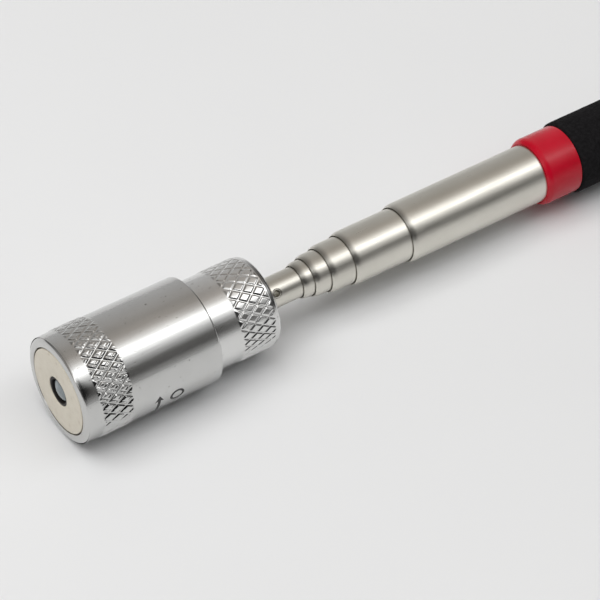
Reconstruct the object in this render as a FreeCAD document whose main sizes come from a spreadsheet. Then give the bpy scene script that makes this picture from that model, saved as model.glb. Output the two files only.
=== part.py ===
"""Telescopic magnetic pick-up tool with a lamp in its screw-on head.

The tool lies along X. The origin is the middle of the grip, where a hand holds it, +X runs
along the tubes to the magnet's face, and +Z is up. Everything is in millimetres.

Handle:  end cap, foam grip, front collar and the fixed outer tube.
Reach:   five tubes that slide and turn in one another on slotted bushes.
Head:    battery body on the thinnest tube, and a barrel that screws along it and holds
         the magnet and the lamp. Screwing it down closes the lamp's switch.
"""
import FreeCAD, Part
import math
import os
import Sketcher

# ---------------------------------------------------------------- driving dimensions

SIZES = [
    # handle
    ("cap_length", 6.0, "end cap, the part behind the foam"),
    ("cap_wall", 1.3, "end cap, how far it stands out from the outer tube"),
    ("cap_rounding", 1.2, "end cap, rounding of its rear edge"),
    ("plug_length", 6.0, "end cap, the plug inside the outer tube"),
    ("plug_gap", 0.05, "end cap plug to outer tube, radial"),
    ("grip_length", 100.0, "foam grip"),
    ("grip_wall", 1.54, "foam grip"),
    ("grip_rounding", 0.5, "foam grip, edges"),
    ("collar_length", 8.3, "front collar"),
    ("collar_wall", 1.04, "front collar"),
    ("collar_nose", 1.4, "front collar, length of its rounded nose"),
    ("collar_lip", 0.35, "front collar, thickness left at the tip of its nose"),
    # tubes, numbered from 1, the thinnest
    ("neck_tube_radius", 3.2, "tube 1, outside"),
    ("tube_wall", 0.3, "every tube"),
    ("tube_gap", 0.3, "one tube's outside to the next one's bore, radial"),
    ("stub_6", 33.1, "tube 6, tip in front of the collar"),
    ("stub_5", 13.3, "tube 5, tip in front of tube 6's tip"),
    ("stub_4", 5.4, "tube 4, tip in front of tube 5's tip"),
    ("stub_3", 3.5, "tube 3, tip in front of tube 4's tip"),
    ("stub_2", 2.4, "tube 2, tip in front of tube 3's tip"),
    ("stub_1", 9.0, "tube 1, bare length between tube 2 and the battery body"),
    ("spare_5", 8.0, "tube 5, how much further in it can go"),
    ("spare_1", 4.0, "tube 1, how much further in it can go"),
    ("lip_length", 1.5, "rolled-in front lip"),
    ("lip_land", 0.5, "lip, its straight guiding part"),
    ("lip_gap", 0.16, "lip to the tube that runs through it, radial"),
    ("lip_edge", 0.1, "lip, thickness at its tip"),
    ("neck_depth", 0.25, "swaged rear neck, how much thinner than its tube"),
    ("shoulder_length", 0.3, "taper from neck to tube"),
    ("flare_length", 0.8, "flare behind the neck, which keeps the bush on"),
    ("end_gap", 0.4, "a tube's rear end to what stops it, fully in"),
    ("bush_length", 7.0, "friction bush"),
    ("bush_play", 0.2, "friction bush, endwise play on its neck"),
    ("bush_slot", 0.8, "friction bush, width of its slot"),
    ("turn_gap", 0.03, "neck to bush, radial"),
    ("slide_gap", 0.03, "bush to outer tube's bore, radial"),
    # joint of the neck tube and the battery body
    ("seat_depth", 2.0, "battery body, socket for tube 1"),
    ("seat_gap", 0.05, "socket to tube 1, radial"),
    ("stem_plug_length", 12.0, "neck stem, plug inside tube 1"),
    ("stem_gap", 0.05, "neck stem to tube 1, radial"),
    ("shank_radius", 1.95, "neck stem, threaded shank"),
    ("shank_gap", 0.05, "shank to the holes it goes through, radial"),
    ("shank_end", 0.4, "shank, how far it stands out of the nut"),
    ("stem_washer_radius", 3.7, "washer under the nut"),
    ("stem_washer_thickness", 0.5, "washer under the nut"),
    ("nut_flat", 3.5, "nut, centre to flat"),
    ("nut_thickness", 2.2, "nut"),
    ("pin_inset", 3.25, "cross pin, behind the battery body"),
    ("pin_angle", 39.0, "cross pin, from +Y towards +Z, in degrees"),
    ("pin_radius", 0.95, "cross pin, outside"),
    ("pin_wall", 0.28, "cross pin"),
    ("pin_slit", 0.45, "cross pin, width of its slit"),
    ("pin_gap", 0.05, "cross pin to its hole, radial"),
    ("pin_length", 6.3, "cross pin"),
    # battery stack, from the inside out
    ("cell_radius", 5.8, "button cell"),
    ("cell_height", 5.4, "button cell"),
    ("cell_step", 0.5, "button cell, height of its smaller end"),
    ("cell_inset", 1.2, "button cell, how much smaller that end is"),
    ("cell_gap", 0.1, "cell to sleeve, radial"),
    ("sleeve_wall", 0.5, "battery sleeve"),
    ("sleeve_gap", 0.03, "battery sleeve to battery body, radial"),
    ("sleeve_inset", 0.3, "battery sleeve, behind the battery body's rim"),
    ("body_wall", 1.97, "battery body, wall of its threaded neck"),
    ("floor_thickness", 1.7, "battery body, floor under the spring"),
    ("spring_length", 7.4, "battery spring, as fitted"),
    ("spring_radius", 4.9, "battery spring, to the middle of the wire"),
    ("spring_wire", 0.35, "battery spring, wire radius"),
    ("spring_turns", 4.0, "battery spring"),
    # head
    ("barrel_length", 30.0, "head barrel"),
    ("thread_gap", 0.1, "neck thread to barrel thread, radial"),
    ("skirt_step", 1.0, "barrel, from its threaded bore out to its skirt's bore"),
    ("skirt_wall", 1.5, "barrel, wall of its skirt"),
    ("skirt_depth", 3.0, "barrel, depth of its skirt"),
    ("skirt_gap", 0.13, "skirt to battery body, radial"),
    ("skirt_clearance", 0.8, "bottom of the skirt to the battery body's shoulder"),
    ("switch_gap", 0.27, "contact ring to battery body's rim, lamp off"),
    ("rim_width", 2.0, "barrel, width of its front rim"),
    ("rim_rounding", 1.2, "barrel, rounding of its front rim"),
    ("edge_chamfer", 0.2, "small chamfers on the plated parts"),
    ("knurl_height", 0.2, "knurled bands, how far they stand out"),
    ("barrel_knurl_inset", 3.1, "barrel's knurled band, behind the magnet's face"),
    ("barrel_knurl_length", 7.3, "barrel's knurled band"),
    ("body_knurl_front", 5.4, "battery body's knurled band, behind the barrel"),
    ("body_knurl_back", 1.2, "battery body's knurled band, to the body's rear face"),
    ("body_rounding", 1.1, "battery body, rounding of its rear edge"),
    ("seal_section", 0.5, "seal ring, radius of its section"),
    ("seal_gap", 0.03, "seal ring to barrel's bore, radial"),
    ("seal_inset", 1.9, "seal ring, in front of the battery body's shoulder"),
    ("seal_room", 0.1, "seal ring to the sides of its groove"),
    ("magnet_thickness", 5.0, "magnet"),
    ("magnet_gap", 0.25, "magnet to barrel, radial"),
    ("magnet_chamfer", 0.15, "magnet, edges"),
    ("washer_thickness", 1.5, "pole washer"),
    ("washer_gap", 0.05, "pole washer to barrel, radial"),
    ("web_thickness", 1.5, "barrel's web between magnet and lamp board"),
    ("ledge_width", 0.7, "barrel, ledge that the lamp board rests on"),
    ("lens_radius", 2.5, "lamp"),
    ("lamp_flange_width", 0.4, "lamp, how far its flange stands out"),
    ("lamp_flange_thickness", 1.0, "lamp flange"),
    ("lamp_recess", 0.1, "lamp's tip, behind the magnet's face"),
    ("lining_gap", 0.05, "lamp to lining, radial"),
    ("lining_wall", 0.5, "lining between lamp and magnet"),
    ("lining_fit", 0.03, "lining to the holes it goes through, radial"),
    ("lining_recess", 0.15, "lining, behind the magnet's face"),
    ("board_gap", 0.1, "lamp board to barrel, radial"),
    ("board_thickness", 1.2, "lamp board"),
    ("lead_pitch", 2.54, "lamp leads, middle to middle"),
    ("lead_width", 0.5, "lamp leads, square wire"),
    ("lead_hole_radius", 0.42, "lamp board, holes for the leads"),
    ("lead_stub", 0.4, "lamp leads, behind the board"),
    ("contact_radius", 0.85, "contact button"),
    ("contact_height", 1.8, "contact button, board to first cell"),
    ("contact_ring_thickness", 0.4, "contact ring on the board"),
    ("contact_ring_inset", 0.1, "contact ring, inside the neck's rim at both edges"),
]

CELL_COUNT = 4
SLIDING_TUBES = (5, 4, 3, 2, 1)
OUTER_TUBE = 6

doc = FreeCAD.newDocument("PickUpTool")
sheet = doc.addObject("Spreadsheet::Sheet", "Sizes")
for row, (name, value, meaning) in enumerate(SIZES, start=1):
    sheet.set(f"A{row}", name)
    sheet.set(f"B{row}", str(value))
    sheet.set(f"C{row}", meaning)
    sheet.setAlias(f"B{row}", name)
doc.recompute()

# ------------------------------------------------- stations along X, as sheet expressions

CAP_FRONT = "-Sizes.grip_length / 2"
REAR_FACE = f"{CAP_FRONT} - Sizes.cap_length"
PLUG_FRONT = f"{CAP_FRONT} + Sizes.plug_length"
GRIP_FRONT = "Sizes.grip_length / 2"
COLLAR_FRONT = f"{GRIP_FRONT} + Sizes.collar_length"

TIP = {OUTER_TUBE: f"{COLLAR_FRONT} + Sizes.stub_6"}
for n in (5, 4, 3, 2):
    TIP[n] = f"{TIP[n + 1]} + Sizes.stub_{n}"
BODY_BACK = f"{TIP[2]} + Sizes.stub_1"
TIP[1] = f"{BODY_BACK} + Sizes.seat_depth"

REAR = {OUTER_TUBE: CAP_FRONT}
NECK_BACK = {}
NECK_FRONT = {}
for n in SLIDING_TUBES:
    if n == 5:
        REAR[n] = f"{PLUG_FRONT} + Sizes.end_gap + Sizes.spare_5"
    else:
        REAR[n] = f"{NECK_FRONT[n + 1]} + Sizes.shoulder_length + Sizes.end_gap"
    if n == 1:
        REAR[n] += " + Sizes.spare_1"
    NECK_BACK[n] = f"{REAR[n]} + Sizes.flare_length"
    NECK_FRONT[n] = f"{NECK_BACK[n]} + Sizes.bush_length + Sizes.bush_play"

PIN_PLACE = f"{BODY_BACK} - Sizes.pin_inset"
FLOOR = f"{TIP[1]} + Sizes.floor_thickness"
CELLS_BACK = f"{FLOOR} + Sizes.spring_length"
CELLS_FRONT = f"{CELLS_BACK} + {CELL_COUNT} * Sizes.cell_height"
BOARD_BACK = f"{CELLS_FRONT} + Sizes.contact_height"
BOARD_FRONT = f"{BOARD_BACK} + Sizes.board_thickness"
WEB_BACK = f"{BOARD_FRONT} + Sizes.lamp_flange_thickness"
WEB_FRONT = f"{WEB_BACK} + Sizes.web_thickness"
MAGNET_BACK = f"{WEB_FRONT} + Sizes.washer_thickness"
FACE = f"{MAGNET_BACK} + Sizes.magnet_thickness"
BARREL_BACK = f"{FACE} - Sizes.barrel_length"
SKIRT_FLOOR = f"{BARREL_BACK} + Sizes.skirt_depth"
SHOULDER = f"{SKIRT_FLOOR} - Sizes.skirt_clearance"
SEAL_PLACE = f"{SHOULDER} + Sizes.seal_inset"
RIM = f"{BOARD_BACK} - Sizes.contact_ring_thickness - Sizes.switch_gap"

# ------------------------------------------------------------ radii, as sheet expressions

RADIUS = {}
for n in (OUTER_TUBE,) + SLIDING_TUBES:
    RADIUS[n] = f"Sizes.neck_tube_radius + {n - 1} * (Sizes.tube_wall + Sizes.tube_gap)"

BORE = {n: f"{RADIUS[n]} - Sizes.tube_wall" for n in RADIUS}
BAY = "Sizes.cell_radius + Sizes.cell_gap + Sizes.sleeve_wall + Sizes.sleeve_gap"
NECK_THREAD = f"{BAY} + Sizes.body_wall"
BARREL_THREAD = f"{NECK_THREAD} + Sizes.thread_gap"
SKIRT_BORE = f"{BARREL_THREAD} + Sizes.skirt_step"
BODY_OUTSIDE = f"{SKIRT_BORE} - Sizes.skirt_gap"
BARREL_OUTSIDE = f"{SKIRT_BORE} + Sizes.skirt_wall"
MAGNET_BORE = f"{BARREL_OUTSIDE} - Sizes.rim_width"
MAGNET_OUTSIDE = f"{MAGNET_BORE} - Sizes.magnet_gap"
LINING_OUTSIDE = "Sizes.lens_radius + Sizes.lining_gap + Sizes.lining_wall"
LINING_HOLE = f"{LINING_OUTSIDE} + Sizes.lining_fit"
SHANK_HOLE = "Sizes.shank_radius + Sizes.shank_gap"
BOARD_OUTSIDE = f"{BARREL_THREAD} - Sizes.board_gap"
SEAL_MIDDLE = f"{BARREL_THREAD} - Sizes.seal_gap - Sizes.seal_section"


# ------------------------------------------------------------------------- building tools

def value_of(expression):
    """An expression's present value, in millimetres or degrees."""
    return float(sheet.evalExpression(expression))


def new_sketch(body, name, plane):
    """An empty sketch on one of the body's own origin planes."""
    sketch = body.newObject("Sketcher::SketchObject", name)
    support = next(f for f in body.Origin.OriginFeatures if f.Role == plane)
    sketch.AttachmentSupport = [(support, "")]
    sketch.MapMode = "FlatFace"
    return sketch


def pin_point(sketch, edge, end, across, up):
    """Hold one end of an edge at (across, up), both given as sheet expressions."""
    for kind, axis, expression in (("DistanceX", -2, across), ("DistanceY", -1, up)):
        if expression == "0":
            sketch.addConstraint(Sketcher.Constraint("PointOnObject", edge, end, axis))
            continue
        size = value_of(expression)
        held = sketch.addConstraint(Sketcher.Constraint(kind, -1, 1, edge, end, size))
        sketch.setExpression(f"Constraints[{held}]", expression)


def tangent_arc(before, start, finish):
    """The arc from start to finish that carries on from the line before-start."""
    along = (start - before).normalize()
    left = FreeCAD.Vector(-along.y, along.x, 0)
    chord = finish - start
    reach = chord.dot(chord) / (2 * chord.dot(left))
    centre = start + left * reach
    turns_left = reach > 0
    first, last = (start, finish) if turns_left else (finish, start)
    angles = [math.atan2(p.y - centre.y, p.x - centre.x) for p in (first, last)]
    circle = Part.Circle(centre, FreeCAD.Vector(0, 0, 1), abs(reach))
    return Part.ArcOfCircle(circle, angles[0], angles[1]), turns_left


def draw_outline(sketch, corners):
    """A closed outline through the corners, each (across, up) or (across, up, "arc").

    The edge after a corner marked "arc" is an arc tangent to the edge before it.
    """
    points = [FreeCAD.Vector(value_of(c[0]), value_of(c[1]), 0) for c in corners]
    ends = []
    for i, corner in enumerate(corners):
        following = points[(i + 1) % len(points)]
        forward = True
        if len(corner) == 3:
            edge, forward = tangent_arc(points[i - 1], points[i], following)
        else:
            edge = Part.LineSegment(points[i], following)
        sketch.addGeometry(edge, False)
        ends.append((1, 2) if forward else (2, 1))
    for i, corner in enumerate(corners):
        before = i - 1 if i else len(corners) - 1
        kind = "Tangent" if len(corner) == 3 else "Coincident"
        joint = Sketcher.Constraint(kind, before, ends[before][1], i, ends[i][0])
        sketch.addConstraint(joint)
    for i, corner in enumerate(corners):
        follows_arc = len(corners[i - 1]) == 3
        after_arc_end = len(corner) == 3
        if follows_arc and after_arc_end:
            raise ValueError("two arcs in a row")
        pin_point(sketch, i, ends[i][0], corner[0], corner[1])


def turned(label, corners):
    """A body turned about X from an outline of (station, radius) corners."""
    body = doc.addObject("PartDesign::Body", label)
    sketch = new_sketch(body, f"{label}_outline", "XZ_Plane")
    draw_outline(sketch, corners)
    turn = body.newObject("PartDesign::Revolution", f"{label}_turn")
    turn.Profile = sketch
    turn.ReferenceAxis = (sketch, ["H_Axis"])
    turn.Angle = 360
    sketch.Visibility = False
    return body


def ring(label, back, front, inside, outside):
    """A plain turned ring between two stations."""
    return turned(label, [(back, inside), (back, outside), (front, outside), (front, inside)])


def add_circle(sketch, across, up, radius):
    """A circle whose middle and radius are sheet expressions."""
    middle = FreeCAD.Vector(value_of(across), value_of(up), 0)
    circle = Part.Circle(middle, FreeCAD.Vector(0, 0, 1), value_of(radius))
    edge = sketch.addGeometry(circle, False)
    pin_point(sketch, edge, 3, across, up)
    held = sketch.addConstraint(Sketcher.Constraint("Radius", edge, value_of(radius)))
    sketch.setExpression(f"Constraints[{held}]", radius)


def cut_through(body, sketch, both_ways):
    """Cut a sketch right through the body, and make sure that it did cut."""
    doc.recompute()
    before = body.Shape.Volume
    cut = body.newObject("PartDesign::Pocket", f"{sketch.Name}_cut")
    cut.Profile = sketch
    cut.Type = "ThroughAll"
    cut.Midplane = both_ways
    sketch.Visibility = False
    doc.recompute()
    if not body.Shape.Volume < before:
        raise RuntimeError(f"{sketch.Name} cut nothing")


def cross_hole(body):
    """The cross pin's hole, right through the body across X."""
    sketch = new_sketch(body, f"{body.Name}_pin_hole", "XZ_Plane")
    sketch.AttachmentOffset = FreeCAD.Placement(
        FreeCAD.Vector(0, 0, 0), FreeCAD.Rotation(FreeCAD.Vector(1, 0, 0), 1)
    )
    sketch.setExpression("AttachmentOffset.Rotation.Angle", "Sizes.pin_angle")
    add_circle(sketch, PIN_PLACE, "0", "Sizes.pin_radius + Sizes.pin_gap")
    cut_through(body, sketch, True)


# --------------------------------------------------------------------------------- handle

def make_end_cap():
    """Flat disc behind the foam, with a plug in the outer tube."""
    outside = f"{RADIUS[OUTER_TUBE]} + Sizes.cap_wall"
    plug = f"{BORE[OUTER_TUBE]} - Sizes.plug_gap"
    return turned("end_cap", [
        (REAR_FACE, "0"),
        (REAR_FACE, f"{outside} - Sizes.cap_rounding", "arc"),
        (f"{REAR_FACE} + Sizes.cap_rounding", outside),
        (CAP_FRONT, outside),
        (CAP_FRONT, plug),
        (PLUG_FRONT, plug),
        (PLUG_FRONT, "0"),
    ])


def make_foam_grip():
    """Foam sleeve with rounded ends."""
    inside = RADIUS[OUTER_TUBE]
    outside = f"{inside} + Sizes.grip_wall"
    return turned("foam_grip", [
        (CAP_FRONT, inside),
        (CAP_FRONT, f"{outside} - Sizes.grip_rounding", "arc"),
        (f"{CAP_FRONT} + Sizes.grip_rounding", outside),
        (f"{GRIP_FRONT} - Sizes.grip_rounding", outside, "arc"),
        (GRIP_FRONT, f"{outside} - Sizes.grip_rounding"),
        (GRIP_FRONT, inside),
    ])


def make_front_collar():
    """Collar in front of the foam, with a nose rounded down towards the tube."""
    inside = RADIUS[OUTER_TUBE]
    outside = f"{inside} + Sizes.collar_wall"
    return turned("front_collar", [
        (GRIP_FRONT, inside),
        (GRIP_FRONT, outside),
        (f"{COLLAR_FRONT} - Sizes.collar_nose", outside, "arc"),
        (COLLAR_FRONT, f"{inside} + Sizes.collar_lip"),
        (COLLAR_FRONT, inside),
    ])


# ---------------------------------------------------------------------------------- tubes

def rear_corners(n):
    """Outer and inner corners of a sliding tube's rear neck, from the back forwards."""
    outside, inside = RADIUS[n], BORE[n]
    neck_inside = f"{inside} - Sizes.neck_depth"
    shoulder = f"{NECK_FRONT[n]} + Sizes.shoulder_length"
    flare_inside = f"{NECK_BACK[n]} - Sizes.tube_wall"
    outer = [
        (REAR[n], outside),
        (NECK_BACK[n], outside),
        (NECK_BACK[n], f"{outside} - Sizes.neck_depth"),
        (NECK_FRONT[n], f"{outside} - Sizes.neck_depth"),
        (shoulder, outside),
    ]
    inner = [
        (REAR[n], inside),
        (flare_inside, inside),
        (flare_inside, neck_inside),
        (NECK_FRONT[n], neck_inside),
        (shoulder, inside),
    ]
    return outer, inner


def front_corners(n):
    """Outer and inner corners of a tube's rolled-in lip, from the back forwards."""
    lip_back = f"{TIP[n]} - Sizes.lip_length"
    lip_bore = f"{RADIUS[n - 1]} + Sizes.lip_gap"
    outer = [
        (lip_back, RADIUS[n], "arc"),
        (TIP[n], f"{lip_bore} + Sizes.lip_edge"),
    ]
    inner = [
        (lip_back, BORE[n]),
        (f"{TIP[n]} - Sizes.lip_land", lip_bore),
        (TIP[n], lip_bore),
    ]
    return outer, inner


def make_tube(n):
    """Tube n: plain rear end on the outer tube, plain front end on tube 1."""
    if n == OUTER_TUBE:
        rear_outer, rear_inner = [(REAR[n], RADIUS[n])], [(REAR[n], BORE[n])]
    else:
        rear_outer, rear_inner = rear_corners(n)
    if n == 1:
        front_outer, front_inner = [(TIP[n], RADIUS[n])], [(TIP[n], BORE[n])]
    else:
        front_outer, front_inner = front_corners(n)
    inner = rear_inner + front_inner
    body = turned(f"tube_{n}", rear_outer + front_outer + inner[::-1])
    if n == 1:
        cross_hole(body)
    return body


def make_bush(n):
    """Slotted sleeve on tube n's neck, which slides in tube n + 1."""
    back = f"{NECK_BACK[n]} + Sizes.bush_play / 2"
    front = f"{back} + Sizes.bush_length"
    inside = f"{RADIUS[n]} - Sizes.neck_depth + Sizes.turn_gap"
    outside = f"{BORE[n + 1]} - Sizes.slide_gap"
    body = ring(f"friction_bush_{n}", back, front, inside, outside)
    slot = new_sketch(body, f"friction_bush_{n}_slot", "XY_Plane")
    draw_outline(slot, [
        (REAR[n], "-Sizes.bush_slot / 2"),
        (f"{front} + Sizes.bush_play", "-Sizes.bush_slot / 2"),
        (f"{front} + Sizes.bush_play", "Sizes.bush_slot / 2"),
        (REAR[n], "Sizes.bush_slot / 2"),
    ])
    cut_through(body, slot, False)
    return body


# ------------------------------------------------------- neck joint, from the tube forwards

def make_neck_stem():
    """Plug pinned inside tube 1, with a threaded shank through the battery body's floor."""
    plug = f"{BORE[1]} - Sizes.stem_gap"
    shank_front = f"{FLOOR} + Sizes.stem_washer_thickness + Sizes.nut_thickness"
    back = f"{TIP[1]} - Sizes.stem_plug_length"
    body = turned("neck_stem", [
        (back, "0"),
        (back, plug),
        (TIP[1], plug),
        (TIP[1], "Sizes.shank_radius"),
        (f"{shank_front} + Sizes.shank_end", "Sizes.shank_radius"),
        (f"{shank_front} + Sizes.shank_end", "0"),
    ])
    cross_hole(body)
    return body


def make_stem_washer():
    """Flat washer on the battery body's floor."""
    front = f"{FLOOR} + Sizes.stem_washer_thickness"
    return ring("stem_washer", FLOOR, front, SHANK_HOLE, "Sizes.stem_washer_radius")


def make_stem_nut():
    """Hexagonal nut on the stem's shank."""
    body = doc.addObject("PartDesign::Body", "stem_nut")
    sketch = new_sketch(body, "stem_nut_outline", "YZ_Plane")
    flat = "Sizes.nut_flat"
    corner = "Sizes.nut_flat / cos(30 deg)"
    draw_outline(sketch, [
        (corner, "0"),
        (f"{corner} / 2", flat),
        (f"-{corner} / 2", flat),
        (f"-{corner}", "0"),
        (f"-{corner} / 2", f"-{flat}"),
        (f"{corner} / 2", f"-{flat}"),
    ])
    add_circle(sketch, "0", "0", SHANK_HOLE)
    pad = body.newObject("PartDesign::Pad", "stem_nut_pad")
    pad.Profile = sketch
    pad.setExpression("Length", "Sizes.nut_thickness")
    body.setExpression("Placement.Base.x", f"{FLOOR} + Sizes.stem_washer_thickness")
    return body


def make_cross_pin():
    """Rolled pin with a slit, across tube 1 and the stem."""
    body = doc.addObject("PartDesign::Body", "cross_pin")
    sketch = new_sketch(body, "cross_pin_outline", "XY_Plane")
    add_circle(sketch, "0", "0", "Sizes.pin_radius")
    add_circle(sketch, "0", "0", "Sizes.pin_radius - Sizes.pin_wall")
    pad = body.newObject("PartDesign::Pad", "cross_pin_pad")
    pad.Profile = sketch
    pad.Midplane = True
    pad.setExpression("Length", "Sizes.pin_length")
    slit = new_sketch(body, "cross_pin_slit", "XY_Plane")
    draw_outline(slit, [
        ("0", "-Sizes.pin_slit / 2"),
        ("2 * Sizes.pin_radius", "-Sizes.pin_slit / 2"),
        ("2 * Sizes.pin_radius", "Sizes.pin_slit / 2"),
        ("0", "Sizes.pin_slit / 2"),
    ])
    cut_through(body, slit, True)
    body.Placement.Rotation = FreeCAD.Rotation(FreeCAD.Vector(1, 0, 0), -1)
    body.setExpression("Placement.Rotation.Angle", "Sizes.pin_angle - 90")
    body.setExpression("Placement.Base.x", PIN_PLACE)
    return body


# --------------------------------------------------------------------------- battery stack

def make_battery_body():
    """Cup for the cells: threaded neck in the barrel, knurled outside, floor at the back."""
    band = f"{BODY_OUTSIDE} + Sizes.knurl_height"
    band_front = f"{BARREL_BACK} - Sizes.body_knurl_front"
    band_back = f"{BODY_BACK} + Sizes.body_knurl_back"
    seat = f"{RADIUS[1]} + Sizes.seat_gap"
    groove = f"{SEAL_MIDDLE} - Sizes.seal_section"
    groove_back = f"{SEAL_PLACE} - Sizes.seal_section - Sizes.seal_room"
    groove_front = f"{SEAL_PLACE} + Sizes.seal_section + Sizes.seal_room"
    return turned("battery_body", [
        (RIM, BAY),
        (RIM, NECK_THREAD),
        (groove_front, NECK_THREAD),
        (groove_front, groove),
        (groove_back, groove),
        (groove_back, NECK_THREAD),
        (SHOULDER, NECK_THREAD),
        (SHOULDER, f"{BODY_OUTSIDE} - Sizes.edge_chamfer"),
        (f"{SHOULDER} - Sizes.edge_chamfer", BODY_OUTSIDE),
        (band_front, BODY_OUTSIDE),
        (f"{band_front} - Sizes.knurl_height", band),
        (f"{band_back} + Sizes.knurl_height", band),
        (band_back, BODY_OUTSIDE),
        (f"{BODY_BACK} + Sizes.body_rounding", BODY_OUTSIDE, "arc"),
        (BODY_BACK, f"{BODY_OUTSIDE} - Sizes.body_rounding"),
        (BODY_BACK, seat),
        (TIP[1], seat),
        (TIP[1], SHANK_HOLE),
        (FLOOR, SHANK_HOLE),
        (FLOOR, BAY),
    ])


def make_battery_sleeve():
    """Insulating tube between the cells and the battery body."""
    inside = "Sizes.cell_radius + Sizes.cell_gap"
    outside = f"{inside} + Sizes.sleeve_wall"
    return ring("battery_sleeve", FLOOR, f"{RIM} - Sizes.sleeve_inset", inside, outside)


def make_button_cell(n):
    """Cell n, counted from the lamp, with its smaller end towards the spring."""
    back = f"{CELLS_BACK} + {CELL_COUNT - n} * Sizes.cell_height"
    step = f"{back} + Sizes.cell_step"
    front = f"{back} + Sizes.cell_height"
    small = "Sizes.cell_radius - Sizes.cell_inset"
    return turned(f"button_cell_{n}", [
        (back, "0"),
        (back, small),
        (step, small),
        (step, "Sizes.cell_radius"),
        (front, "Sizes.cell_radius"),
        (front, "0"),
    ])


def make_battery_spring():
    """Coil spring between the battery body's floor and the last cell."""
    body = doc.addObject("PartDesign::Body", "battery_spring")
    sketch = new_sketch(body, "battery_spring_wire", "XZ_Plane")
    add_circle(sketch, f"{FLOOR} + Sizes.spring_wire", "Sizes.spring_radius", "Sizes.spring_wire")
    coil = body.newObject("PartDesign::AdditiveHelix", "battery_spring_coil")
    coil.Profile = sketch
    coil.ReferenceAxis = (sketch, ["H_Axis"])
    coil.Mode = "height-turns-angle"
    coil.setExpression("Height", "Sizes.spring_length - 2 * Sizes.spring_wire")
    coil.setExpression("Turns", "Sizes.spring_turns")
    sketch.Visibility = False
    return body


def make_seal_ring():
    """Rubber ring in the neck's groove."""
    torus = doc.addObject("Part::Torus", "seal_ring")
    torus.setExpression("Radius1", SEAL_MIDDLE)
    torus.setExpression("Radius2", "Sizes.seal_section")
    torus.Placement.Rotation = FreeCAD.Rotation(FreeCAD.Vector(0, 1, 0), 90)
    torus.setExpression("Placement.Base.x", SEAL_PLACE)
    return torus


# ------------------------------------------------------------------------------------ head

def make_head_barrel():
    """Barrel: magnet recess in front, web, lamp board's ledge, threaded bore, rear skirt."""
    band = f"{BARREL_OUTSIDE} + Sizes.knurl_height"
    band_front = f"{FACE} - Sizes.barrel_knurl_inset"
    band_back = f"{band_front} - Sizes.barrel_knurl_length"
    ledge = f"{BARREL_THREAD} - Sizes.ledge_width"
    return turned("head_barrel", [
        (f"{FACE} - Sizes.edge_chamfer", MAGNET_BORE),
        (FACE, f"{MAGNET_BORE} + Sizes.edge_chamfer"),
        (FACE, f"{BARREL_OUTSIDE} - Sizes.rim_rounding", "arc"),
        (f"{FACE} - Sizes.rim_rounding", BARREL_OUTSIDE),
        (band_front, BARREL_OUTSIDE),
        (f"{band_front} - Sizes.knurl_height", band),
        (f"{band_back} + Sizes.knurl_height", band),
        (band_back, BARREL_OUTSIDE),
        (f"{BARREL_BACK} + Sizes.edge_chamfer", BARREL_OUTSIDE),
        (BARREL_BACK, f"{BARREL_OUTSIDE} - Sizes.edge_chamfer"),
        (BARREL_BACK, SKIRT_BORE),
        (SKIRT_FLOOR, SKIRT_BORE),
        (SKIRT_FLOOR, BARREL_THREAD),
        (BOARD_FRONT, BARREL_THREAD),
        (BOARD_FRONT, ledge),
        (WEB_BACK, ledge),
        (WEB_BACK, LINING_HOLE),
        (WEB_FRONT, LINING_HOLE),
        (WEB_FRONT, MAGNET_BORE),
    ])


def make_magnet_ring():
    """Ring magnet, flush with the barrel's rim, with its edges broken."""
    return turned("magnet_ring", [
        (MAGNET_BACK, LINING_HOLE),
        (MAGNET_BACK, MAGNET_OUTSIDE),
        (f"{FACE} - Sizes.magnet_chamfer", MAGNET_OUTSIDE),
        (FACE, f"{MAGNET_OUTSIDE} - Sizes.magnet_chamfer"),
        (FACE, f"{LINING_HOLE} + Sizes.magnet_chamfer"),
        (f"{FACE} - Sizes.magnet_chamfer", LINING_HOLE),
    ])


def make_pole_washer():
    """Steel washer behind the magnet."""
    outside = f"{MAGNET_BORE} - Sizes.washer_gap"
    return ring("pole_washer", WEB_FRONT, MAGNET_BACK, LINING_HOLE, outside)


def make_lamp_lining():
    """Dark sleeve that lines the magnet's hole round the lamp."""
    inside = "Sizes.lens_radius + Sizes.lining_gap"
    return ring("lamp_lining", WEB_BACK, f"{FACE} - Sizes.lining_recess", inside, LINING_OUTSIDE)


def make_led_lamp():
    """Lamp with a domed lens, and a flange that rests on the web's lining."""
    flange = "Sizes.lens_radius + Sizes.lamp_flange_width"
    tip = f"{FACE} - Sizes.lamp_recess"
    return turned("led_lamp", [
        (BOARD_FRONT, "0"),
        (BOARD_FRONT, flange),
        (WEB_BACK, flange),
        (WEB_BACK, "Sizes.lens_radius"),
        (f"{tip} - Sizes.lens_radius", "Sizes.lens_radius", "arc"),
        (tip, "0"),
    ])


def make_led_leads():
    """The lamp's two leads, down through the board."""
    leads = []
    for side in (-1, 1):
        lead = doc.addObject("Part::Box", "led_lead")
        lead.setExpression("Length", "Sizes.board_thickness + Sizes.lead_stub")
        lead.setExpression("Width", "Sizes.lead_width")
        lead.setExpression("Height", "Sizes.lead_width")
        lead.setExpression("Placement.Base.x", f"{BOARD_BACK} - Sizes.lead_stub")
        lead.setExpression("Placement.Base.y", f"({side} * Sizes.lead_pitch - Sizes.lead_width) / 2")
        lead.setExpression("Placement.Base.z", "-Sizes.lead_width / 2")
        leads.append(lead)
    pair = doc.addObject("Part::Compound", "led_leads")
    pair.Links = leads
    return pair


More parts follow.
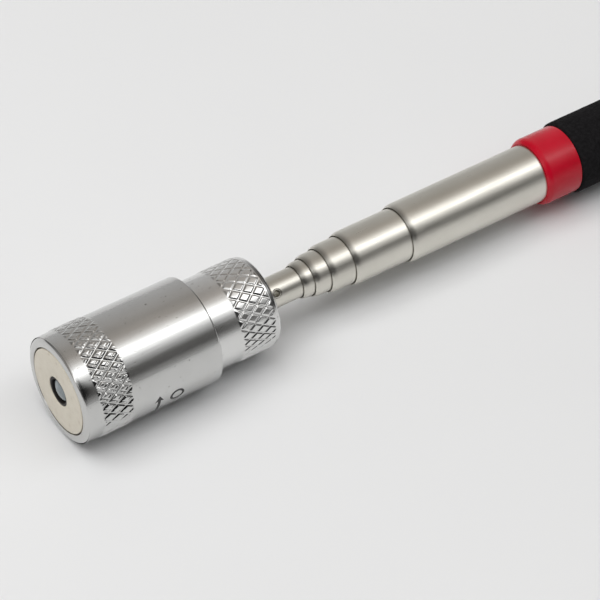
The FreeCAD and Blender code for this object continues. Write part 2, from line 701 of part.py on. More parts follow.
def make_lamp_board():
    """Round board with two holes for the leads."""
    body = doc.addObject("PartDesign::Body", "lamp_board")
    sketch = new_sketch(body, "lamp_board_outline", "YZ_Plane")
    add_circle(sketch, "0", "0", BOARD_OUTSIDE)
    for side in ("-", ""):
        add_circle(sketch, f"{side}Sizes.lead_pitch / 2", "0", "Sizes.lead_hole_radius")
    pad = body.newObject("PartDesign::Pad", "lamp_board_pad")
    pad.Profile = sketch
    pad.setExpression("Length", "Sizes.board_thickness")
    body.setExpression("Placement.Base.x", BOARD_BACK)
    return body


def make_contact_button():
    """Brass button between the leads, which the first cell presses on."""
    return turned("contact_button", [
        (CELLS_FRONT, "0"),
        (CELLS_FRONT, "Sizes.contact_radius"),
        (BOARD_BACK, "Sizes.contact_radius"),
        (BOARD_BACK, "0"),
    ])


def make_contact_ring():
    """Brass ring on the board, which meets the battery body's rim when the lamp is on."""
    back = f"{BOARD_BACK} - Sizes.contact_ring_thickness"
    inside = f"{BAY} + Sizes.contact_ring_inset"
    outside = f"{NECK_THREAD} - Sizes.contact_ring_inset"
    return ring("contact_ring", back, BOARD_BACK, inside, outside)


# -------------------------------------------------------------------------------- assembly

nodes = [make_end_cap(), make_foam_grip(), make_front_collar()]
nodes += [make_tube(n) for n in (OUTER_TUBE,) + SLIDING_TUBES]
nodes += [make_bush(n) for n in SLIDING_TUBES]
nodes += [make_neck_stem(), make_stem_washer(), make_stem_nut()]
nodes += [make_cross_pin(), make_battery_body(), make_battery_sleeve()]
nodes += [make_button_cell(n) for n in range(1, CELL_COUNT + 1)]
nodes += [make_battery_spring(), make_seal_ring(), make_head_barrel()]
nodes += [make_magnet_ring(), make_pole_washer(), make_lamp_lining(), make_led_lamp()]
nodes += [make_led_leads(), make_lamp_board(), make_contact_button(), make_contact_ring()]
doc.recompute()

for thing in doc.Objects:
    if "Invalid" in thing.State or "Error" in thing.State:
        raise RuntimeError(f"{thing.Label} failed: {thing.State}")
for node in nodes:
    if node.Shape.isNull() or not node.Shape.isValid() or not node.Shape.Solids:
        raise RuntimeError(f"{node.Label} has no valid solid")

os.makedirs("parts", exist_ok=True)
for node in nodes:
    node.Shape.exportStep(f"parts/{node.Label}.step")
length = value_of(FACE) - value_of(REAR_FACE)
print(f"{len(nodes)} nodes, {length:.1f} mm long with the tubes pushed in")
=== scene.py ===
"""Looks of the telescopic magnetic pick-up tool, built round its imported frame.

Blender works in metres here. The tool lies along X with its magnet's face towards +X and +Z up.
Outlines are written in millimetres, as (station along X, radius) or (station, radius, rounding).
"""
import math

import bmesh
import bpy
from mathutils import Matrix, Vector, noise


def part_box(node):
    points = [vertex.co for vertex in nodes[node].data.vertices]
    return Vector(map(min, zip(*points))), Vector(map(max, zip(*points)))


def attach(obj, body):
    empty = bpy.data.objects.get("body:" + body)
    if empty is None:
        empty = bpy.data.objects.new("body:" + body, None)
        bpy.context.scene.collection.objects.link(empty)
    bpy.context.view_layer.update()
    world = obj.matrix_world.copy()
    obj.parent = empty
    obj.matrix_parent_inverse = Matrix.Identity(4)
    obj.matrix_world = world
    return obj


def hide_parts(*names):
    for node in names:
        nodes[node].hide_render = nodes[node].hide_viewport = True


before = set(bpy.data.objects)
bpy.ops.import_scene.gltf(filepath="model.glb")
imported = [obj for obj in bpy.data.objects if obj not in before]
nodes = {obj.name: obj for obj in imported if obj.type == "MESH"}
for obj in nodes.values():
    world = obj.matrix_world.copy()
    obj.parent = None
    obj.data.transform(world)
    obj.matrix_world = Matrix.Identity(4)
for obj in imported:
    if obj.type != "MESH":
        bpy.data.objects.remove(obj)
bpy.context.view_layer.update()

MM = 0.001
TURN = 2 * math.pi

# ------------------------------------------------------------------------ sizes, millimetres

# steps of arcs and rings, and the angle in degrees past which an edge is sharp
ROUND_STEPS = 5
PLAIN_SEGMENTS = 180
SMALL_SEGMENTS = 96
SHARP_ANGLE = 32

# metres by which a face's diagonals may differ before it is split
FLAT_ENOUGH = 1e-9

# tubes, numbered from 1, the thinnest
TUBE_COUNT = 6
TUBE_WALL = 0.3
LIP_LENGTH = 1.5
LIP_LAND = 0.5
LIP_GAP = 0.16
LIP_EDGE = 0.1
NECK_DEPTH = 0.25
NECK_LENGTH = 7.2
FLARE_LENGTH = 0.8
SHOULDER_LENGTH = 0.3

# cross pin
PIN_RADIUS = 0.95
PIN_WALL = 0.28
PIN_SLIT = 0.45
PIN_LENGTH = 6.3
PIN_ANGLE = 39
PIN_SEGMENTS = 40
PIN_ROUNDING = 0.13

# knurled bands: starts round the tool, ring points to each start, and groove angle in degrees
KNURL_STARTS = 30
KNURL_STEPS = 24
KNURL_ANGLE = 31.5
KNURL_RISE = 0.2
KNURL_SUNK = 0.05
KNURL_FADE = 0.8
BAND_GAP = 0.15

# groove depths, how far they sway round a band, and where in degrees they are deepest
BODY_GROOVE = 0.16
BODY_GROOVE_SWAY = 0.06
BODY_DEEPEST = -40
BARREL_GROOVE = 0.19
BARREL_GROOVE_SWAY = 0.11
BARREL_DEEPEST = -10

# from a groove's middle to its edge, in shares of a cell
GROOVE_REACH = 0.22
WIDE_GROOVE_REACH = 0.25
SECOND_GROOVE_REACH = 0.14

# the barrel's second tracks: where they are deepest, then their offsets in cells and depth shares
SECOND_DEEPEST = 70
SECOND_RISING_OFFSET = 0.42
SECOND_RISING_SHARE = 0.3
SECOND_FALLING_OFFSET = 0.36
SECOND_FALLING_SHARE = 0.5

# how far the rollers ran ahead round the body in radians, and where in degrees
UNEVENNESS = 0.09
UNEVEN_FROM = 70

# barrel
BARREL_BAND_INSET = 3.1
BARREL_BAND_LENGTH = 7.3
RIM_WIDTH = 2.0
RIM_ROUNDING = 1.0
RIM_CROWN = 0.16
CROWN_STEPS = 7
SKIRT_BORE = 9.5
SKIRT_DEPTH = 3.0
BARREL_THREAD = 8.5
LEDGE_DEPTH = 0.7
LINING_HOLE = 3.08
LINING_WALL = 0.5

# battery body
BODY_BAND_INSET = 1.2
BODY_BAND_FROM_BARREL = 5.4
BODY_ROUNDING = 1.1
SHOULDER_CLEARANCE = 0.8
NECK_RADIUS = 8.4
THREAD_PITCH = 1.0
THREAD_DEPTH = 0.35
THREAD_STEPS = 8
THREAD_END = 0.3
SEAL_GROOVE = 0.93
SEAL_PLAY = 0.1
BAY_RADIUS = 6.43
SHANK_HOLE = 2.0
SOCKET_RADIUS = 3.25
SOCKET_DEPTH = 2.0
FLOOR_THICKNESS = 1.7

# lamp, with the reflector cup and the dot in it
FLANGE_HEIGHT = 1.0
FLANGE_WIDTH = 0.4
DOME_HEIGHT = 1.1
DOME_STEPS = 14
CUP_INSET = 3.2
CUP_DEPTH = 0.9
CUP_RADIUS = 1.35
CUP_WALL = 0.25
POST_RADIUS = 0.7
POST_BACK = 0.6

# twist mark: its sizes, then each shape's station and its degrees round from +Y towards +Z
PRINT_LIFT = 0.02
ARROW_SHAFT = 0.3
ARROW_HEAD = 0.98
ARROW_TIP = 1.1
ARROW_THROAT = -0.3
ARROW_BARB = -0.55
ARROW_TAIL = -4.2
ARROW_SPLITS = 4
ARROW_PLACE = (154.0, -9.5)
RING_OUTSIDE = 1.55
RING_INSIDE = 1.05
RING_STEPS = 32
RING_SPLITS = 1
RING_PLACE = (150.0, -14.0)

# collar and end cap
COLLAR_NOSE = 1.4
COLLAR_LIP = 0.35
CAP_DISH = 0.35
CAP_RIM = 2.0
CAP_SLOPE = 0.4
CAP_ROUNDING = 1.2
PLUG_PLAY = 0.05
PLUG_ROUNDING = 0.5

# foam sleeve
FOAM_ROWS = 300
FOAM_SEGMENTS = 200
FOAM_ROUNDING = 0.9
FOAM_SUNK = 0.06
FOAM_PITS = 0.035
FOAM_WAVES = 0.05

# repeats to each millimetre of the foam's noise, and how strong the finer pits are
PIT_SCALE = 2.1
FINE_PIT_SCALE = 4.3
FINE_PIT_SHARE = 0.6
WAVE_SCALE = 0.25


# ------------------------------------------------------------------------- mesh building

def span(node):
    """A CAD node's rear end, front end and outside radius, in millimetres."""
    low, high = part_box(node)
    return low.x / MM, high.x / MM, high.z / MM


def eased(corners):
    """The outline's points, with every corner that has a rounding turned into an arc."""
    points = []
    for i, corner in enumerate(corners):
        here = Vector(corner[:2])
        if len(corner) == 2:
            points.append(here)
            continue
        before = (Vector(corners[i - 1][:2]) - here).normalized()
        after = (Vector(corners[(i + 1) % len(corners)][:2]) - here).normalized()
        half = before.angle(after) / 2
        centre = here + (before + after).normalized() * corner[2] / math.sin(half)
        start = here + before * corner[2] / math.tan(half) - centre
        finish = here + after * corner[2] / math.tan(half) - centre
        first = math.atan2(start.y, start.x)
        sweep = math.remainder(math.atan2(finish.y, finish.x) - first, TURN)
        for k in range(ROUND_STEPS + 1):
            angle = first + sweep * k / ROUND_STEPS
            points.append(centre + Vector((math.cos(angle), math.sin(angle))) * corner[2])
    return points


def around(count, sway=None):
    """Angles of a ring's points, from +Y towards +Z, swayed unevenly where a function says."""
    angles = [TURN * j / count for j in range(count)]
    return [angle + sway(angle) for angle in angles] if sway else angles


def ring_at(station, radius, angles):
    """A ring of points about X, or one point where the radius is nil. Millimetres in, metres out."""
    if radius == 0:
        return [Vector((station, 0, 0)) * MM]
    return [Vector((station, radius * math.cos(a), radius * math.sin(a))) * MM for a in angles]


def rings_of(corners, angles):
    """The rings of a turned outline."""
    return [ring_at(point.x, point.y, angles) for point in eased(corners)]


def off_axis(point):
    """A point's distance from the X axis."""
    return math.hypot(point.y, point.z)


def join_rings(faces, points, first, second):
    """Faces between two rings of point numbers, of which one may have fewer points."""
    few, many = sorted((first, second), key=len)
    share = len(many) // len(few)
    if len(few) == 1:
        faces += [(few[0], many[j - 1], many[j]) for j in range(len(many))]
        return
    for j in range(len(few)):
        far = [many[(share * (j + 1) - k) % len(many)] for k in range(share + 1)]
        face = [few[j], few[(j + 1) % len(few)]] + far
        if share > 1:
            faces.append(face)
            continue
        heights = [off_axis(points[v]) for v in face]
        one_way = abs(heights[0] - heights[2])
        other_way = abs(heights[1] - heights[3])
        if abs(one_way - other_way) < FLAT_ENOUGH:
            faces.append(face)
        elif one_way < other_way:
            faces += [(face[0], face[1], face[2]), (face[0], face[2], face[3])]
        else:
            faces += [(face[0], face[1], face[3]), (face[1], face[2], face[3])]


def mesh_piece(name, points, faces, sharp=SHARP_ANGLE):
    """An object from points and faces, smooth except where it turns sharply."""
    mesh = bpy.data.meshes.new(name)
    mesh.from_pydata(points, [], faces)
    work = bmesh.new()
    work.from_mesh(mesh)
    bmesh.ops.recalc_face_normals(work, faces=work.faces)
    work.to_mesh(mesh)
    work.free()
    mesh.polygons.foreach_set("use_smooth", [True] * len(mesh.polygons))
    mesh.set_sharp_from_angle(angle=math.radians(sharp))
    piece = bpy.data.objects.new(name, mesh)
    bpy.context.scene.collection.objects.link(piece)
    return piece


def skin(name, rings, sharp=SHARP_ANGLE):
    """A piece through a loop of rings, open at the axis where a ring is one point."""
    points, numbers = [], []
    for ring in rings:
        numbers.append(list(range(len(points), len(points) + len(ring))))
        points += ring
    faces = []
    ends_on_axis = len(rings[0]) == 1 and len(rings[-1]) == 1
    for i in range(1 if ends_on_axis else 0, len(rings)):
        join_rings(faces, points, numbers[i - 1], numbers[i])
    return mesh_piece(name, points, faces, sharp)


def turned(name, corners, segments=PLAIN_SEGMENTS):
    """A piece turned about X."""
    return skin(name, rings_of(corners, around(segments)))


def finish(piece, body, slot, material, *stands_for):
    """Give a new piece its material and its body, and hide the CAD nodes that it stands for. The slot is
    not used.
    """
    piece.data.materials.append(material)
    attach(piece, body)
    if stands_for:
        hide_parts(*stands_for)
    return piece


# --------------------------------------------------------------------------- material tools

def new_material(name):
    """A material, its node tree and its Principled shader."""
    material = bpy.data.materials.new(name)
    material.use_nodes = True
    tree = material.node_tree
    shader = next(n for n in tree.nodes if n.type == "BSDF_PRINCIPLED")
    return material, tree, shader


def set_shader(shader, **values):
    """Set constants on the shader's own sockets: words in names are split by underscores."""
    for key, value in values.items():
        shader.inputs[key.replace("_", " ")].default_value = value


def stretched_place(tree, scale):
    """Object coordinates stretched by a scale of three numbers, in repeats per metre."""
    place = tree.nodes.new("ShaderNodeTexCoord")
    mapping = tree.nodes.new("ShaderNodeMapping")
    mapping.inputs["Scale"].default_value = scale
    tree.links.new(place.outputs["Object"], mapping.inputs["Vector"])
    return mapping.outputs["Vector"]


def noise_value(tree, scale, detail=3.0, roughness=0.55):
    """A noise pattern's value over object coordinates stretched by three numbers."""
    pattern = tree.nodes.new("ShaderNodeTexNoise")
    pattern.inputs["Scale"].default_value = 1.0
    pattern.inputs["Detail"].default_value = detail
    pattern.inputs["Roughness"].default_value = roughness
    tree.links.new(stretched_place(tree, scale), pattern.inputs["Vector"])
    return pattern.outputs["Fac"]


def ramp(tree, value, stops):
    """A colour ramp over a value, from (place, brightness or colour) stops."""
    node = tree.nodes.new("ShaderNodeValToRGB")
    tree.links.new(value, node.inputs["Fac"])
    elements = node.color_ramp.elements
    while len(elements) < len(stops):
        elements.new(0.5)
    for element, (place, shade) in zip(elements, stops):
        element.position = place
        colour = shade if isinstance(shade, tuple) else (shade, shade, shade)
        element.color = (*colour, 1)
    return node.outputs["Color"]


def math_node(tree, operation, first, second):
    """The value of a Math node of two inputs, each a socket or a number."""
    node = tree.nodes.new("ShaderNodeMath")
    node.operation = operation
    for place, value in enumerate((first, second)):
        if isinstance(value, (int, float)):
            node.inputs[place].default_value = value
        else:
            tree.links.new(value, node.inputs[place])
    return node.outputs["Value"]


def vector_node(tree, operation, first, second):
    """A Vector Math node of two inputs, each a socket or a constant."""
    node = tree.nodes.new("ShaderNodeVectorMath")
    node.operation = operation
    for place, value in enumerate((first, second)):
        if isinstance(value, tuple):
            node.inputs[place].default_value = value
        else:
            tree.links.new(value, node.inputs[place])
    return node.outputs["Value" if operation == "DOT_PRODUCT" else "Vector"]


def add_bump(tree, shader, value, distance, strength):
    """Bump from a value, its height in metres, on top of any bump that is there."""
    bump = tree.nodes.new("ShaderNodeBump")
    bump.inputs["Distance"].default_value = distance
    bump.inputs["Strength"].default_value = strength
    tree.links.new(value, bump.inputs["Height"])
    normal = shader.inputs["Normal"]
    if normal.is_linked:
        tree.links.new(normal.links[0].from_socket, bump.inputs["Normal"])
    tree.links.new(bump.outputs["Normal"], normal)


# -------------------------------------------------------------------------------- materials

def worn_metal(name, light, dark, smooth, rough, grain, dents):
    """Metal with cloudy colour, streaks of roughness along its grain, and shallow dents.

    The result is the material, its node tree and its shader.
    """
    material, tree, shader = new_material(name)
    set_shader(shader, Metallic=1.0)
    clouds = noise_value(tree, (90, 90, 90), 4)
    tree.links.new(ramp(tree, clouds, [(0.3, dark), (0.7, light)]), shader.inputs["Base Color"])
    streaks = noise_value(tree, grain, 5, 0.65)
    tree.links.new(ramp(tree, streaks, [(0.3, smooth), (0.75, rough)]), shader.inputs["Roughness"])
    add_bump(tree, shader, streaks, 0.000004, dents)
    add_bump(tree, shader, noise_value(tree, (60, 420, 420), 3), 0.00006, dents)
    return material, tree, shader


def speckled(material, tree, shader):
    """The same metal with small dark pits and stains in its plating."""
    base = shader.inputs["Base Color"].links[0].from_socket
    pits = noise_value(tree, (900, 1300, 1300), 3, 0.6)
    stain = ramp(tree, pits, [(0.66, (1.0, 1.0, 1.0)), (0.74, (0.5, 0.48, 0.45))])
    tree.links.new(vector_node(tree, "MULTIPLY", base, stain), shader.inputs["Base Color"])
    add_bump(tree, shader, ramp(tree, pits, [(0.64, 1.0), (0.74, 0.0)]), 0.00002, 0.4)
    return material


def plated_metal():
    """Chrome-like plating with fine scuffs and pits."""
    return speckled(*worn_metal(
        "plated_metal", (0.61, 0.61, 0.60), (0.56, 0.56, 0.55), 0.10, 0.19, (350, 1500, 1500), 0.35
    ))


def satin_plate():
    """The battery body's plating, brighter and softer than the barrel's."""
    return speckled(*worn_metal(
        "satin_plate", (0.73, 0.73, 0.72), (0.66, 0.66, 0.65), 0.14, 0.25, (350, 1500, 1500), 0.35
    ))


def tube_metal():
    """Drawn stainless tube, warmer and softer than the plating."""
    return worn_metal(
        "tube_metal", (0.715, 0.695, 0.635), (0.655, 0.635, 0.575), 0.27, 0.41, (120, 3000, 3000), 0.3
    )[0]


def steel():
    """Plain bright steel, for fasteners and the spring."""
    return worn_metal(
        "steel", (0.56, 0.555, 0.54), (0.46, 0.455, 0.44), 0.2, 0.34, (1500, 1500, 1500), 0.4
    )[0]


def brass():
    """Drawn brass for the bushes and contacts."""
    return worn_metal(
        "brass", (0.80, 0.60, 0.27), (0.68, 0.49, 0.2), 0.18, 0.33, (2500, 400, 400), 0.4
    )[0]


def cell_steel():
    """Nickelled cans of the button cells."""
    return worn_metal(
        "cell_steel", (0.70, 0.69, 0.67), (0.62, 0.61, 0.6), 0.15, 0.28, (1200, 1200, 1200), 0.3
    )[0]


def magnet_face():
    """Matt cream coating with faint mottling and specks."""
    material, tree, shader = new_material("magnet_face")
    set_shader(shader, Metallic=0.0, Specular_IOR_Level=0.4)
    mottle = noise_value(tree, (600, 600, 600), 5, 0.6)
    colour = ramp(tree, mottle, [
        (0.28, (0.58, 0.52, 0.43)),
        (0.38, (0.67, 0.62, 0.52)),
        (0.75, (0.71, 0.66, 0.56)),
    ])
    tree.links.new(colour, shader.inputs["Base Color"])
    tree.links.new(ramp(tree, mottle, [(0.3, 0.5), (0.7, 0.38)]), shader.inputs["Roughness"])
    add_bump(tree, shader, noise_value(tree, (4000, 4000, 4000), 3), 0.000006, 0.5)
    return material


def moulded_plastic(name, colour, shade, roughness, coat):
    """Moulded plastic with a slightly uneven surface."""
    material, tree, shader = new_material(name)
    set_shader(shader, Metallic=0.0, Specular_IOR_Level=0.3, Coat_Weight=coat, Coat_Roughness=0.12)
    waves = noise_value(tree, (160, 160, 160), 3)
    tree.links.new(ramp(tree, waves, [(0.3, shade), (0.7, colour)]), shader.inputs["Base Color"])
    tree.links.new(
        ramp(tree, waves, [(0.3, roughness * 1.25), (0.7, roughness * 0.85)]),
        shader.inputs["Roughness"],
    )
    add_bump(tree, shader, noise_value(tree, (2600, 2600, 2600), 3), 0.000008, 0.3)
    return material


def red_plastic():
    """Glossy red of the collar and the end cap."""
    return moulded_plastic("red_plastic", (0.50, 0.005, 0.022), (0.45, 0.003, 0.016), 0.21, 0.0)


def black_plastic():
    """Dark lining round the lamp."""
    return moulded_plastic("black_plastic", (0.022, 0.018, 0.016), (0.012, 0.01, 0.01), 0.45, 0.0)


def seal_rubber():
    """Black rubber of the seal ring."""
    return moulded_plastic("seal_rubber", (0.02, 0.02, 0.02), (0.012, 0.012, 0.012), 0.6, 0.0)


def lamp_board_green():
    """Green solder mask."""
    return moulded_plastic("board", (0.03, 0.16, 0.06), (0.02, 0.12, 0.045), 0.35, 0.3)


def sleeve_card():
    """Pale card, slightly fibrous."""
    material, tree, shader = new_material("sleeve_card")
    fibres = noise_value(tree, (700, 3000, 3000), 5, 0.7)
    colour = ramp(tree, fibres, [(0.3, (0.62, 0.6, 0.52)), (0.7, (0.76, 0.74, 0.66))])
    tree.links.new(colour, shader.inputs["Base Color"])
    tree.links.new(ramp(tree, fibres, [(0.3, 0.8), (0.7, 0.65)]), shader.inputs["Roughness"])
    add_bump(tree, shader, fibres, 0.00002, 0.5)
    return material


def black_foam():
    """Closed-cell foam: fine open pores over a matt black."""
    material, tree, shader = new_material("black_foam")
    set_shader(shader, Metallic=0.0, Specular_IOR_Level=0.08)
    cells = tree.nodes.new("ShaderNodeTexVoronoi")
    cells.inputs["Scale"].default_value = 2600
    place = tree.nodes.new("ShaderNodeTexCoord")
    tree.links.new(place.outputs["Object"], cells.inputs["Vector"])
    pores = ramp(tree, cells.outputs["Distance"], [(0.1, 0.0), (0.5, 1.0)])
    grain = noise_value(tree, (1400, 1400, 1400), 5, 0.7)
    colour = ramp(tree, grain, [(0.3, (0.006, 0.0055, 0.006)), (0.75, (0.017, 0.0165, 0.0175))])
    tree.links.new(colour, shader.inputs["Base Color"])
    tree.links.new(ramp(tree, grain, [(0.3, 0.96), (0.8, 0.82)]), shader.inputs["Roughness"])
    add_bump(tree, shader, pores, 0.00012, 0.5)
    add_bump(tree, shader, grain, 0.0002, 0.5)
    return material


def clear_lens():
    """Hazy epoxy of the lamp."""
    material, tree, shader = new_material("clear_lens")
    set_shader(shader, Metallic=0.0, Transmission_Weight=0.3, IOR=1.5)
    haze = noise_value(tree, (900, 900, 900), 3)
    colour = ramp(tree, haze, [(0.3, (0.26, 0.3, 0.32)), (0.7, (0.36, 0.41, 0.43))])
    tree.links.new(colour, shader.inputs["Base Color"])
    tree.links.new(ramp(tree, haze, [(0.3, 0.03), (0.7, 0.08)]), shader.inputs["Roughness"])
    return material


def phosphor():
    """Yellow phosphor dot of a white lamp that is off."""
    return moulded_plastic("phosphor", (0.72, 0.62, 0.12), (0.62, 0.52, 0.08), 0.5, 0.2)


def black_print():
    """Worn black pad print."""
    material, tree, shader = new_material("black_print")
    wear = noise_value(tree, (2500, 2500, 2500), 4, 0.7)
    colour = ramp(tree, wear, [(0.35, (0.10, 0.10, 0.10)), (0.5, (0.012, 0.012, 0.013))])
    tree.links.new(colour, shader.inputs["Base Color"])
    tree.links.new(ramp(tree, wear, [(0.3, 0.6), (0.7, 0.4)]), shader.inputs["Roughness"])
    return material


def pale_floor():
    """Matt white board with the faintest unevenness."""
    material, tree, shader = new_material("pale_floor")
    set_shader(shader, Specular_IOR_Level=0.2)
    clouds = noise_value(tree, (9, 9, 9), 3)
    colour = ramp(tree, clouds, [(0.3, (0.755, 0.76, 0.765)), (0.7, (0.775, 0.78, 0.785))])
    tree.links.new(colour, shader.inputs["Base Color"])
    tree.links.new(ramp(tree, clouds, [(0.3, 0.75), (0.7, 0.65)]), shader.inputs["Roughness"])
    return material


PLATED = plated_metal()
SATIN = satin_plate()
TUBE = tube_metal()
STEEL = steel()
BRASS = brass()
MAGNET = magnet_face()
RED = red_plastic()
BLACK = black_plastic()
FOAM = black_foam()
LENS = clear_lens()
CELL = cell_steel()


# ----------------------------------------------------------------------------- knurled bands

def soft_groove(phase, reach):
    """Depth of a V groove with soft edges, from 0 on the land to 1 at its middle."""
    away = abs(math.remainder(phase, 1.0))
    depth = max(0.0, 1 - away / reach)
    return depth * depth * (3 - 2 * depth)


def fade(distance, length):
    """From 0 at an edge to 1 at a length from it."""
    share = min(1.0, max(0.0, distance / length))
    return share * share * (3 - 2 * share)


def body_knurl(across, along):
    """Height on the battery body's band, in millimetres, from its two groove phases."""
    turn = TURN * across / KNURL_STARTS
    deep = BODY_GROOVE + BODY_GROOVE_SWAY * math.cos(turn - math.radians(BODY_DEEPEST))
    cut = max(soft_groove(across + along, GROOVE_REACH), soft_groove(across - along, GROOVE_REACH))
    return KNURL_RISE - KNURL_SUNK - deep * cut


def barrel_knurl(across, along):
    """Height on the barrel's band, which the rollers have tracked twice in places."""
    turn = TURN * across / KNURL_STARTS
    deep = BARREL_GROOVE + BARREL_GROOVE_SWAY * math.cos(turn - math.radians(BARREL_DEEPEST))
    second = 0.5 + 0.5 * math.cos(turn - math.radians(SECOND_DEEPEST))
    rising = across + along
    falling = across - along
    cut = max(
        soft_groove(rising, WIDE_GROOVE_REACH),
        soft_groove(falling, GROOVE_REACH),
        SECOND_RISING_SHARE * second * soft_groove(rising - SECOND_RISING_OFFSET, SECOND_GROOVE_REACH),
        SECOND_FALLING_SHARE * second * soft_groove(falling - SECOND_FALLING_OFFSET, SECOND_GROOVE_REACH),
    )
    return KNURL_RISE - KNURL_SUNK - deep * cut


def knurled_rings(back, front, radius, height, angles):
    """Rings of a knurled band between two stations, from the back forwards.

    The rings stand one roller step apart, so both families of grooves run along diagonals.
    """
    period = TURN * radius / KNURL_STARTS / math.tan(math.radians(KNURL_ANGLE))
    count = round((front - back) / period * KNURL_STEPS)
    rings = []
    for i in range(count + 1):
        station = back + (front - back) * i / count
        shown = fade(station - back, KNURL_FADE) * fade(front - station, KNURL_FADE)
        ring = []
        for j, angle in enumerate(angles):
            rise = shown * height(j / KNURL_STEPS, i / KNURL_STEPS)
            ring += ring_at(station, radius + rise, [angle])
        rings.append(ring)
    return rings


def uneven(angle):
    """How far the rollers ran ahead or behind round the battery body, in radians."""
    return UNEVENNESS * math.sin(2 * (angle - math.radians(UNEVEN_FROM)))


def thread_rings(back, front, radius, angles):
    """Rings of a screw thread cut into a radius, with plain ends."""
    steps = round((front - back) / THREAD_PITCH * THREAD_STEPS)
    rings = []
    for i in range(steps + 1):
        station = back + (front - back) * i / steps
        shown = fade(station - back, THREAD_PITCH) * fade(front - station, THREAD_PITCH)
        ring = []
        for angle in angles:
            wave = 0.5 - 0.5 * math.cos(TURN * station / THREAD_PITCH - angle)
            ring += ring_at(station, radius - THREAD_DEPTH * shown * wave, [angle])
        rings.append(ring)
    return rings


# -------------------------------------------------------------------------------- the head

def make_barrel():
    """Barrel: magnet recess, web, ledge, threaded bore and rear skirt, knurled near the front."""
    back, face, crest = span("head_barrel")
    outside = crest - KNURL_RISE
    band_front = face - BARREL_BAND_INSET
    band_back = band_front - BARREL_BAND_LENGTH
    board_front = span("lamp_board")[1]
    washer_back = span("pole_washer")[0]
    web_back = span("lamp_lining")[0]
    bore = outside - RIM_WIDTH
    ledge = BARREL_THREAD - LEDGE_DEPTH
    skirt_floor = back + SKIRT_DEPTH
    fine = around(KNURL_STARTS * KNURL_STEPS)
    plain = around(PLAIN_SEGMENTS)
    crown = []
    for k in range(CROWN_STEPS):
        share = k / CROWN_STEPS
        station = band_front + BAND_GAP + share * (face - band_front - BAND_GAP)
        crown.append((station, outside - RIM_CROWN * share ** 2))
    front = rings_of(crown + [
        (face, outside - RIM_CROWN, RIM_ROUNDING),
        (face, bore, 0.2),
        (washer_back, bore),
        (washer_back, LINING_HOLE),
        (web_back, LINING_HOLE, 0.05),
        (web_back, ledge, 0.1),
        (board_front, ledge, 0.05),
        (board_front, BARREL_THREAD),
        (skirt_floor, BARREL_THREAD, 0.15),
        (skirt_floor, SKIRT_BORE, 0.1),
        (back, SKIRT_BORE, 0.12),
        (back, outside, 0.4),
        (band_back - BAND_GAP, outside),
    ], plain)
    band = knurled_rings(band_back, band_front, outside, barrel_knurl, fine)
    piece = skin("barrel_shell", front + band)
    return finish(piece, "barrel", "plated_metal", PLATED, "head_barrel")


def make_battery_body():
    """Battery body: knurled behind, stepped down to its threaded neck in front."""
    back, rim, crest = span("battery_body")
    barrel_back = span("head_barrel")[0]
    seal_back, seal_front, _ = span("seal_ring")
    outside = crest - KNURL_RISE
    shoulder = barrel_back + SKIRT_DEPTH - SHOULDER_CLEARANCE
    band_front = barrel_back - BODY_BAND_FROM_BARREL
    band_back = back + BODY_BAND_INSET
    groove = NECK_RADIUS - SEAL_GROOVE
    groove_back = seal_back - SEAL_PLAY
    groove_front = seal_front + SEAL_PLAY
    socket_floor = back + SOCKET_DEPTH
    floor = socket_floor + FLOOR_THICKNESS
    fine = around(KNURL_STARTS * KNURL_STEPS, uneven)
    plain = around(PLAIN_SEGMENTS, uneven)
    neck = rings_of([
        (band_front + BAND_GAP, outside),
        (shoulder, outside, 0.25),
        (shoulder, NECK_RADIUS, 0.1),
        (groove_back, NECK_RADIUS, 0.08),
        (groove_back, groove),
        (groove_front, groove),
        (groove_front, NECK_RADIUS, 0.08),
    ], plain)
    thread = thread_rings(seal_front + THREAD_END, rim - THREAD_END, NECK_RADIUS, plain)
    inside = rings_of([
        (rim, NECK_RADIUS, 0.12),
        (rim, BAY_RADIUS, 0.12),
        (floor, BAY_RADIUS),
        (floor, SHANK_HOLE, 0.1),
        (socket_floor, SHANK_HOLE, 0.1),
        (socket_floor, SOCKET_RADIUS),
        (back, SOCKET_RADIUS, 0.1),
        (back, outside, BODY_ROUNDING),
    ], plain)
    band = knurled_rings(band_back, band_front, outside, body_knurl, fine)
    piece = skin("battery_housing", neck + thread + inside + band)
    return finish(piece, "neck", "plated_metal", SATIN, "battery_body")


def make_magnet():
    """Ring magnet with softly broken edges."""
    back, face, outside = span("magnet_ring")
    piece = turned("ring_magnet", [
        (back, LINING_HOLE, 0.1),
        (back, outside, 0.15),
        (face, outside, 0.22),
        (face, LINING_HOLE, 0.2),
    ])
    return finish(piece, "barrel", "magnet_face", MAGNET, "magnet_ring")


def make_lining():
    """Dark sleeve between the magnet and the lamp."""
    back, front, outside = span("lamp_lining")
    inside = outside - LINING_WALL
    piece = turned("lamp_sleeve", [
        (back, inside, 0.05),
        (back, outside, 0.05),
        (front, outside, 0.06),
        (front, inside, 0.2),
    ], SMALL_SEGMENTS)
    return finish(piece, "barrel", "black_plastic", BLACK, "lamp_lining")


def make_lamp():
    """Lamp: a hazy domed body on a flange."""
    back, tip, flange = span("led_lamp")
    lens = flange - FLANGE_WIDTH
    step = back + FLANGE_HEIGHT
    dome = tip - DOME_HEIGHT
    corners = [(back, 0), (back, flange, 0.1), (step, flange, 0.15), (step, lens), (dome, lens)]
    for k in range(1, DOME_STEPS):
        angle = 0.5 * math.pi * k / DOME_STEPS
        corners.append((dome + DOME_HEIGHT * math.sin(angle), lens * math.cos(angle)))
    corners.append((tip, 0))
    piece = turned("lamp_lens", corners, SMALL_SEGMENTS)
    return finish(piece, "barrel", "clear_lens", LENS, "led_lamp")


